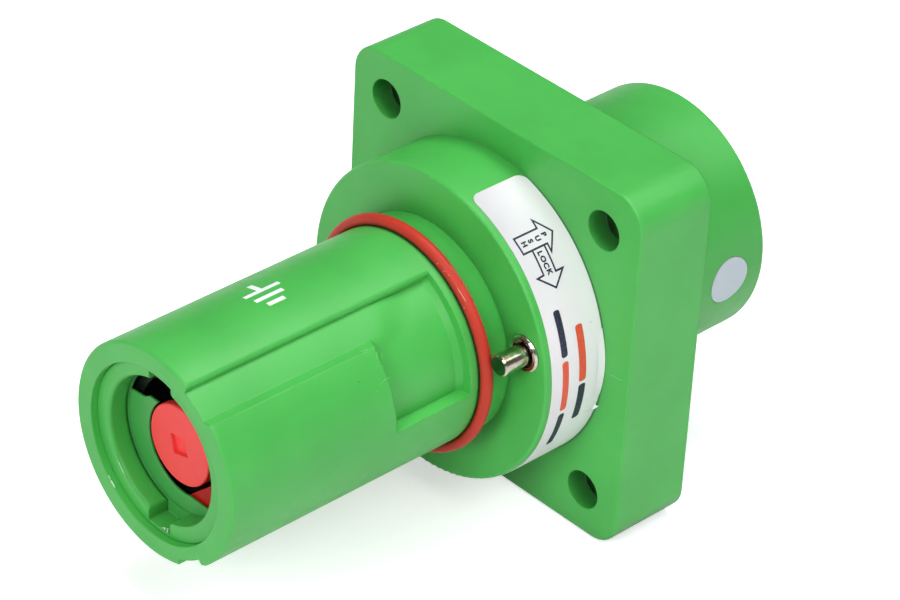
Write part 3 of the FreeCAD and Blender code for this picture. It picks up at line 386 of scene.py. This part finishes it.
# Push-and-turn arrows on the label
PUSH_ARROW = [(17.4, -26.5), (17.4, -21.25), (15.8, -21.15), (18.9, -18.8), (21.95, -21.05),
              (20.4, -21.0), (20.4, -26.4)]
LOCK_ARROW = [(20.4, -24.45), (24.9, -24.65), (25.0, -26.1), (27.6, -23.2), (25.1, -20.4),
              (25.1, -22.0), (20.4, -21.75)]
ARROW_LINE = 0.34
printed("label_arrows", [stroke(PUSH_ARROW, ARROW_LINE, closed=True), stroke(LOCK_ARROW, ARROW_LINE)],
        LABEL_R, navy_ink)


def letter(character, size, place):
    """Letter of the built-in font, centred on a place."""
    curve = bpy.data.curves.new("letter_" + character, "FONT")
    curve.body = character
    curve.size = size
    curve.offset = 0.075
    curve.align_x = "CENTER"
    curve.align_y = "CENTER"
    curve.resolution_u = 4
    ob = bpy.data.objects.new("letter_" + character, curve)
    bpy.context.scene.collection.objects.link(ob)
    evaluated = ob.evaluated_get(bpy.context.evaluated_depsgraph_get())
    me = evaluated.to_mesh()
    verts = [v.co.xy for v in me.vertices]
    faces = [tuple(p.vertices) for p in me.polygons]
    evaluated.to_mesh_clear()
    bpy.data.objects.remove(ob)
    bpy.data.curves.remove(curve)
    low = Vector((min(v.x for v in verts), min(v.y for v in verts)))
    high = Vector((max(v.x for v in verts), max(v.y for v in verts)))
    move = Vector(place) - (low + high) / 2
    return [v + move for v in verts], faces


def word(text, size, places):
    return [letter(character, size, place) for character, place in zip(text, places)]


printed("label_words",
        word("PUSH", 1.36, [(18.83, -20.68), (18.98, -22.19), (18.88, -23.76), (18.93, -25.2)])
        + word("LOCK", 1.40, [(21.39, -23.29), (22.44, -23.26), (23.62, -23.3), (24.85, -23.2)]),
        LABEL_R, navy_ink, lift=0.022)

# Plain two-colour rules on the rest of the label, in two rows
REAR_ROW, FRONT_ROW = (-21.8, -20.2), (-25.6, -24.2)
RULE_END = 0.5
printed("label_rules_orange", [bar(34.9, 45.5, *REAR_ROW, RULE_END),
                               bar(40.2, 50.0, *FRONT_ROW, RULE_END)], LABEL_R, orange_ink)
printed("label_rules_navy", [bar(46.1, 53.8, *REAR_ROW, RULE_END), bar(31.0, 39.4, *FRONT_ROW, RULE_END),
                             bar(50.8, 58.9, *FRONT_ROW, RULE_END)], LABEL_R, navy_ink)

# Marks
# Pale red for the moulding flash on the O-ring's crest, painted as its highlight.
flash_and_highlight = ink("seal_flash_highlight", (0.84, 0.30, 0.20), 0.5, 0.3)
# Light green for scuffs and a scratch, and for painted highlights along edges at the mouth.
scuff_and_highlight = ink("scuff_and_highlight_green", (0.135, 0.575, 0.155), 0.5)
# Dark green for a speck on the barrel, and for the painted shadow behind the label's rear edge.
speck_and_shadow = ink("speck_and_shadow_green", (0.025, 0.15, 0.04), 0.6)
# Near-black green for the painted shadow in the gap in front of the O-ring.
gap_shadow = ink("gap_shadow_green", (0.012, 0.070, 0.016), 0.7, 0.1)
# Pale glossy colour for painted highlights on small burrs and edges.
glint = ink("burr_highlight_pale", (0.82, 0.96, 0.84), 0.15)
# Pale pink for painted highlights on the O-ring.
seal_sparkle = ink("sparkle_pink", (0.86, 0.34, 0.28), 0.5, 0.3)
grey = ink("grey_mark", (0.66, 0.69, 0.73), 0.5)
# Brighter red for the painted light on the floor of the recess in the cap.
recess_lit_red = ink("recess_red_painted_light", (0.99, 0.046, 0.044), 0.4, 0.2)


TIP_SHARE, TAPER_RATE = 0.1, 6.0


def strip(points, width, across, taper=True):
    """Thin strip through points; across(p) is the direction of its width. Its ends may taper."""
    rows, last = [], len(points) - 1
    for k, p in enumerate(points):
        p = Vector(p)
        share = min(1.0, TIP_SHARE + TAPER_RATE * min(k, last - k) / last) if taper else 1.0
        half = width / 2 * share
        rows.append([p - across(p) * half, p + across(p) * half])
    return sheet(rows)


def along_axis(p):
    return Vector((0.0, 1.0, 0.0))


def outward(p):
    return Vector((p.x, 0.0, p.z)).normalized()


def upward(p):
    return Vector((0.0, 0.0, 1.0))


def arc_line(radius, y, start, end, steps=24):
    return [about_axis(radius, angle, y) for angle in spaced(start, end, steps)]


# Bayonet tracks: a soft slope where the floor of the run meets the deeper turning pocket.
# Turns are in degrees from the track's first wall.
TRACK_STARTS = (25.0, 140.8)
RUN_R, POCKET_R = BARREL_R - 1.35, BARREL_R - 2.5
POCKET_SWEEP, CREST_TURN = 66.8, 22.4
POCKET_THROW, POCKET_LEAD = 0.5, 20.0
ENTRY_X, ENTRY_Y = -BARREL_R * math.sin(rad(POCKET_SWEEP / 2)) - 2.0, -47.6
CREST_X, CREST_Y = BARREL_R * math.sin(rad(CREST_TURN - POCKET_SWEEP / 2)), -54.8
RUN_OUT_TURN, SLOPE_START, SLOPE_END = 17.0, 0.2, 28.0
SLOPE_LONG, SLOPE_LEAD = 8.5, 0.5


def pocket_floor(turn):
    """Radius of the pocket's eccentric floor."""
    a = rad(turn + POCKET_LEAD)
    return POCKET_THROW * math.cos(a) + math.sqrt(POCKET_R ** 2 - (POCKET_THROW * math.sin(a)) ** 2)


def pocket_front(turn):
    """Place along the axis of the pocket's slanted front wall, from its entry to its crest."""
    x = RUN_R * math.sin(rad(turn - POCKET_SWEEP / 2))
    share = min(1.0, (x - ENTRY_X) / (CREST_X - ENTRY_X))
    return ENTRY_Y + (CREST_Y - ENTRY_Y) * share


def ease(k):
    """From 1 down to 0 as k goes from 0 to 1, level at both ends."""
    return (1 + math.cos(math.pi * min(1.0, max(0.0, k)))) / 2


def track_slope(start, turns=40, steps=13, lift=0.012):
    """Sheet from the run's floor down to the pocket's, which dies away past the run-out."""
    rows = []
    for turn in spaced(SLOPE_START, SLOPE_END, turns):
        low, front = pocket_floor(turn) + lift, pocket_front(turn)
        rise = (RUN_R + lift - low) * ease((turn - RUN_OUT_TURN) / (SLOPE_END - RUN_OUT_TURN))
        row = [about_axis(low + rise, start + turn, front - SLOPE_LEAD)]
        for k in spaced(0.0, 1.0, steps):
            row.append(about_axis(low + rise * ease(k), start + turn, front - 0.02 + SLOPE_LONG * k))
        rows.append(row)
    return sheet(rows)


mesh_piece("track_slopes", [track_slope(start) for start in TRACK_STARTS], green)

# O-ring: a line of moulding flash on its crest, painted pale as its highlight, a few pale specks of
# painted highlight, and a painted shadow in the gap where it meets the barrel
seal_low, seal_high = box_in_mm("barrel_seal")
SEAL_Y = (seal_low.y + seal_high.y) / 2
CORD_R = (seal_high.y - seal_low.y) / 2
SEAL_R = seal_high.x - CORD_R


def on_seal(turn, phi, lift=0.03):
    """Point of the O-ring, turn about the axis and phi round its cord, in degrees."""
    reach = CORD_R + lift
    return about_axis(SEAL_R + reach * math.cos(rad(phi)), turn, SEAL_Y + reach * math.sin(rad(phi)))


def seal_line(turns, phis, width, steps=20):
    """Thin line on the O-ring between two turns and two places round its cord."""
    points = [on_seal(turn, phi) for turn, phi in zip(spaced(*turns, steps), spaced(*phis, steps))]
    lean = rad(sum(phis) / 2)
    return strip(points, width, lambda p: along_axis(p) * math.cos(lean) - outward(p) * math.sin(lean))


mesh_piece("seal_flash_highlight_line", [seal_line((27, 45), (12, 27), 0.10), seal_line((46.5, 58), (26, 20), 0.09)],
           flash_and_highlight)
# Painted shadow: a dark strip on the barrel in the gap in front of the O-ring.
mesh_piece("seal_gap_shadow", [strip(arc_line(BARREL_R + 0.015, seal_low.y + 0.13, -60, 95, 90), 0.42,
                              along_axis)], gap_shadow)
# Painted highlights: pale specks and a short pale line on the O-ring.
mesh_piece("seal_sparkles", [seal_line((23.6, 24.4), (-73, -71), 0.16, 4),
                           seal_line((28.4, 29.3), (-69, -66), 0.14, 4),
                           seal_line((31.2, 31.9), (-56, -53), 0.10, 4),
                           seal_line((38.5, 46.0), (-50, -41), 0.10),
                           seal_line((47.3, 48.3), (-83, -80), 0.16, 4)], seal_sparkle)

# Scuffs on the barrel in front of the turning pocket, and one dark speck
SCUFFS = [
    ([(15.48, -57.6), (15.6, -56.8), (15.71, -56.1)], 0.16),
    ([(15.9, -57.3), (16.0, -56.5)], 0.10),
    ([(16.67, -54.73), (17.2, -54.9), (17.72, -55.19)], 0.16),
    ([(17.17, -53.95), (17.6, -54.1), (18.04, -54.16)], 0.12),
    ([(21.76, -56.26), (21.31, -55.08), (21.31, -53.95)], 0.12),
    ([(18.62, -55.9), (18.8, -55.6)], 0.12),
    ([(22.4, -57.4), (22.55, -57.1)], 0.10),
    ([(19.2, -54.8), (19.35, -54.5)], 0.10)]
MARK_LIFT = 0.012
printed("barrel_scuffs", [stroke(points, width) for points, width in SCUFFS], BARREL_R, scuff_and_highlight,
        lift=MARK_LIFT)
printed("barrel_speck", [bar(19.6, 19.86, -60.2, -59.98, 0.1, 0.08)], BARREL_R, speck_and_shadow,
        lift=MARK_LIFT)

# Painted highlights at the mouth: pale glints on small burrs and on the ring's bore edge, and light green
# lines along its edges
MOUTH_EDGE_R = MOUTH_R - 0.03


def keyway_line(points, width):
    """Strip on the floor of the keyway, its points as x, place behind the ring's face and rise."""
    return strip([(x, RING_FACE + back, KEYWAY_FLOOR + rise) for x, back, rise in points], width,
                 along_axis, taper=False)


mesh_piece("mouth_burr_highlights", [
    strip(arc_line(MOUTH_EDGE_R, RIM_FACE + 0.12, -132.8, -135.6, 6), 0.12, along_axis),
    strip(arc_line(MOUTH_EDGE_R, RIM_FACE + 0.14, -135.9, -141.2, 10), 0.22, along_axis),
    keyway_line([(0.35, 0.1, 0.0), (0.8, 0.45, 0.15), (1.15, 0.2, 0.0)], 0.30),
    keyway_line([(1.3, 0.15, 0.0), (1.5, 0.5, 0.25), (1.95, 0.1, 0.0)], 0.22),
    keyway_line([(1.0, 0.7, 0.0), (1.5, 0.9, 0.0)], 0.14),
    strip(arc_line(RING_BORE_R + 0.12, RING_FACE - 0.015, -127, -137, 12), 0.13, outward)], glint)
# Painted highlights: light green lines along the ring's bore edge, the keyway's edges and the rim.
mesh_piece("mouth_edge_highlights", [
    strip(arc_line(RING_BORE_R + 0.1, RING_FACE - 0.012, -118, -166, 36), 0.15, outward),
    keyway_line([(-2.6, 0.04, 0.0), (-1.4, 0.04, 0.0), (0.2, 0.04, 0.0)], 0.12),
    keyway_line([(-2.4, 4.0, 0.0), (-1.2, 4.02, 0.0), (0.1, 4.0, 0.0)], 0.16),
    strip(arc_line(MOUTH_EDGE_R, RIM_FACE + 0.1, -165, -196, 24), 0.14, along_axis)], scuff_and_highlight)

# Label: shadow line behind its rear edge, the edge lifted at one place, a nick and a crease
LIFTED_FROM, LIFTED_TO, LIFTED_RISE, LIFTED_STEPS = 74, 100, 0.24, 20
mesh_piece("label_shadow", [strip(arc_line(LABEL_R + 0.21, FLANGE_FRONT - 0.015, 17, 142, 90), 0.26,
                                  outward)], speck_and_shadow)
lifted_edge = []
for k, angle in enumerate(spaced(LIFTED_FROM, LIFTED_TO, LIFTED_STEPS)):
    rise = LIFTED_RISE * math.sin(math.pi * k / LIFTED_STEPS)
    lifted_edge.append([about_axis(LABEL_R + 0.11, angle, LABEL_REAR - 1.5),
                        about_axis(LABEL_R + 0.11 + rise * 0.3, angle, LABEL_REAR - 0.7),
                        about_axis(LABEL_R + 0.12 + rise, angle, LABEL_REAR + 0.02)])
mesh_piece("label_lifted_edge", [sheet(lifted_edge)], film)
nick = [about_axis(LABEL_R + rise, angle, LABEL_REAR - ahead) for rise, angle, ahead in (
    (0.12, 103.6, 0.6), (0.12, 106.9, 0.8), (0.32, 105.0, 0.2), (0.72, 104.5, 0.02), (0.37, 106.2, 0.4))]
mesh_piece("label_nick", [(nick, [(0, 2, 4), (0, 4, 1), (2, 3, 4)])], white_ink)
printed("label_crease", [stroke([(53.7, -18.9), (53.85, -17.8), (53.95, -16.9)], 0.12),
                         bar(35.4, 35.7, -18.4, -18.1, 0.12, 0.08)], LABEL_R, grey)

# Scratch on the flange; a small burr on the cover plug, painted pale as its highlight
SCRATCH = [(29.9, -0.23), (31.0, 0.07), (32.5, 0.06), (33.3, 0.3), (33.8, 0.6)]
mesh_piece("flange_scratch", [strip([(x, FLANGE_FRONT - MARK_LIFT, z) for x, z in SCRATCH], 0.16,
                                    upward)], scuff_and_highlight)
mesh_piece("plug_burr_highlight", [
    strip([(22.88, 21.8, -3.05), (22.96, 22.3, -2.6), (23.0, 22.7, -2.2)], 0.16, along_axis),
    strip([(22.95, 22.9, -2.4), (22.98, 23.3, -2.3)], 0.10, along_axis)], glint)

# Floor of the square recess in the contact's cap, painted a brighter red with less sheen than the cap:
# painted light
cap_low, cap_high = box_in_mm("contact_tip")
FLOOR_SIDE, FLOOR_DEEP, FLOOR_TURN = 3.1, 0.63, 14.0
centre = Vector((0.0, cap_low.y + FLOOR_DEEP, (cap_low.z + cap_high.z) / 2))
corners = [centre + about_axis(FLOOR_SIDE / math.sqrt(2), 45 - FLOOR_TURN - 90 * k, 0.0) for k in range(4)]
mesh_piece("recess_floor", [(corners + [centre], [(0, 1, 4), (1, 2, 4), (2, 3, 4), (3, 0, 4)])],
           recess_lit_red)


# Stage, in metres and watts. Its surroundings are shown brighter to the camera, and to what
# mirrors them, than they light the object.
FLOOR_SHOWN, FLOOR_MIRRORED = 0.56, 0.12
SKY_SHOWN, SKY_MIRRORED, SKY_LIGHT = 0.85, 0.45, 0.15
AIMED_AT = Vector((0.0, -0.03, 0.0))


def floor(half_side=3.0, clear=0.0002):
    """Pale floor just under the object, which comes out white."""
    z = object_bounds()[0][2] - clear
    me = bpy.data.meshes.new("stage_floor")
    me.from_pydata([(x * half_side, y * half_side, z) for x, y in ((-1, -1), (1, -1), (1, 1), (-1, 1))],
                   [], [(0, 1, 2, 3)])
    look = Look("floor_white")
    camera, mirror = look.background_rays()
    shown = look.math("ADD", look.math("MULTIPLY", camera, FLOOR_SHOWN),
                      look.math("MULTIPLY", mirror, FLOOR_MIRRORED))
    look.feed(Base_Color=look.mix(look.noise(3.0), (0.80, 0.81, 0.82), (0.84, 0.85, 0.86)), Roughness=0.9,
              Specular_IOR_Level=0.0, Emission_Color=(1.0, 1.0, 1.0), Emission_Strength=shown)
    me.materials.append(look.material)
    ob = bpy.data.objects.new("stage_floor", me)
    bpy.context.scene.collection.objects.link(ob)


def lamp(name, towards, power, distance=1.5, size=0.62):
    """Soft round lamp that faces the object from the given direction."""
    light = bpy.data.lights.new(name, "AREA")
    light.shape = "DISK"
    light.size = size
    light.energy = power
    ob = bpy.data.objects.new(name, light)
    bpy.context.scene.collection.objects.link(ob)
    towards = Vector(towards).normalized()
    ob.location = AIMED_AT + towards * distance
    ob.rotation_euler = (-towards).to_track_quat("-Z", "Y").to_euler()


def backdrop():
    """World that is white to the camera, pale near the horizon to what mirrors it, and dim as a
    light."""
    world = bpy.data.worlds.new("studio")
    bpy.context.scene.world = world
    world.use_nodes = True
    sky = Nodes(world.node_tree)
    height = sky.along(sky.node("TexCoord").outputs["Generated"])["Z"]
    camera, mirror = sky.background_rays()
    low_band = sky.ramp(height, 0.02, 0.12, SKY_MIRRORED, 0.0)
    shown = sky.math("MAXIMUM", sky.math("MULTIPLY", camera, SKY_SHOWN),
                     sky.math("MULTIPLY", mirror, low_band))
    background = world.node_tree.nodes["Background"]
    sky.put(background.inputs["Color"], (1.0, 1.0, 1.0))
    sky.put(background.inputs["Strength"], sky.math("ADD", shown, SKY_LIGHT))


floor()
lamp("lamp_front", (0.22, -0.81, 0.54), 10.6)
lamp("lamp_right", (0.70, -0.12, 0.71), 6.0)
lamp("lamp_top", (-0.10, -0.15, 0.98), 5.0)
lamp("lamp_high", (0.0, 0.31, 0.95), 8.0)
lamp("lamp_back", (0.40, 0.50, 0.77), 2.6)
backdrop()
bpy.context.scene.view_settings.view_transform = "Standard"

# Camera at the photograph's angle: it looks at a point on the axis from its azimuth and
# elevation, rolled a little and slid off that point, all in degrees and mm
AZIMUTH, ELEVATION, ROLL = rad(45.382), rad(34.181), rad(3.167)
AIM, DISTANCE, SLIDE, RISE = Vector((0.0, -20.0, 0.0)), 641.384, -2.972, 0.393
FOCAL_PIXELS, FRAME_PIXELS, SENSOR = 3753.555, 900.0, 36.0

back = Vector((math.sin(AZIMUTH) * math.cos(ELEVATION), -math.cos(AZIMUTH) * math.cos(ELEVATION),
               math.sin(ELEVATION)))
level = Vector((math.cos(AZIMUTH), math.sin(AZIMUTH), 0.0))
upright = back.cross(level)
right = level * math.cos(ROLL) + upright * math.sin(ROLL)
up = -level * math.sin(ROLL) + upright * math.cos(ROLL)
lens = bpy.data.cameras.new("camera")
lens.sensor_fit = "HORIZONTAL"
lens.sensor_width = SENSOR
lens.lens = FOCAL_PIXELS / FRAME_PIXELS * SENSOR
lens.clip_start = 0.01
camera = bpy.data.objects.new("camera", lens)
bpy.context.scene.collection.objects.link(camera)
place = (AIM + right * SLIDE + up * RISE + back * DISTANCE) * MM
camera.matrix_world = Matrix.Translation(place) @ Matrix((right, up, back)).transposed().to_4x4()
bpy.context.scene.camera = camera
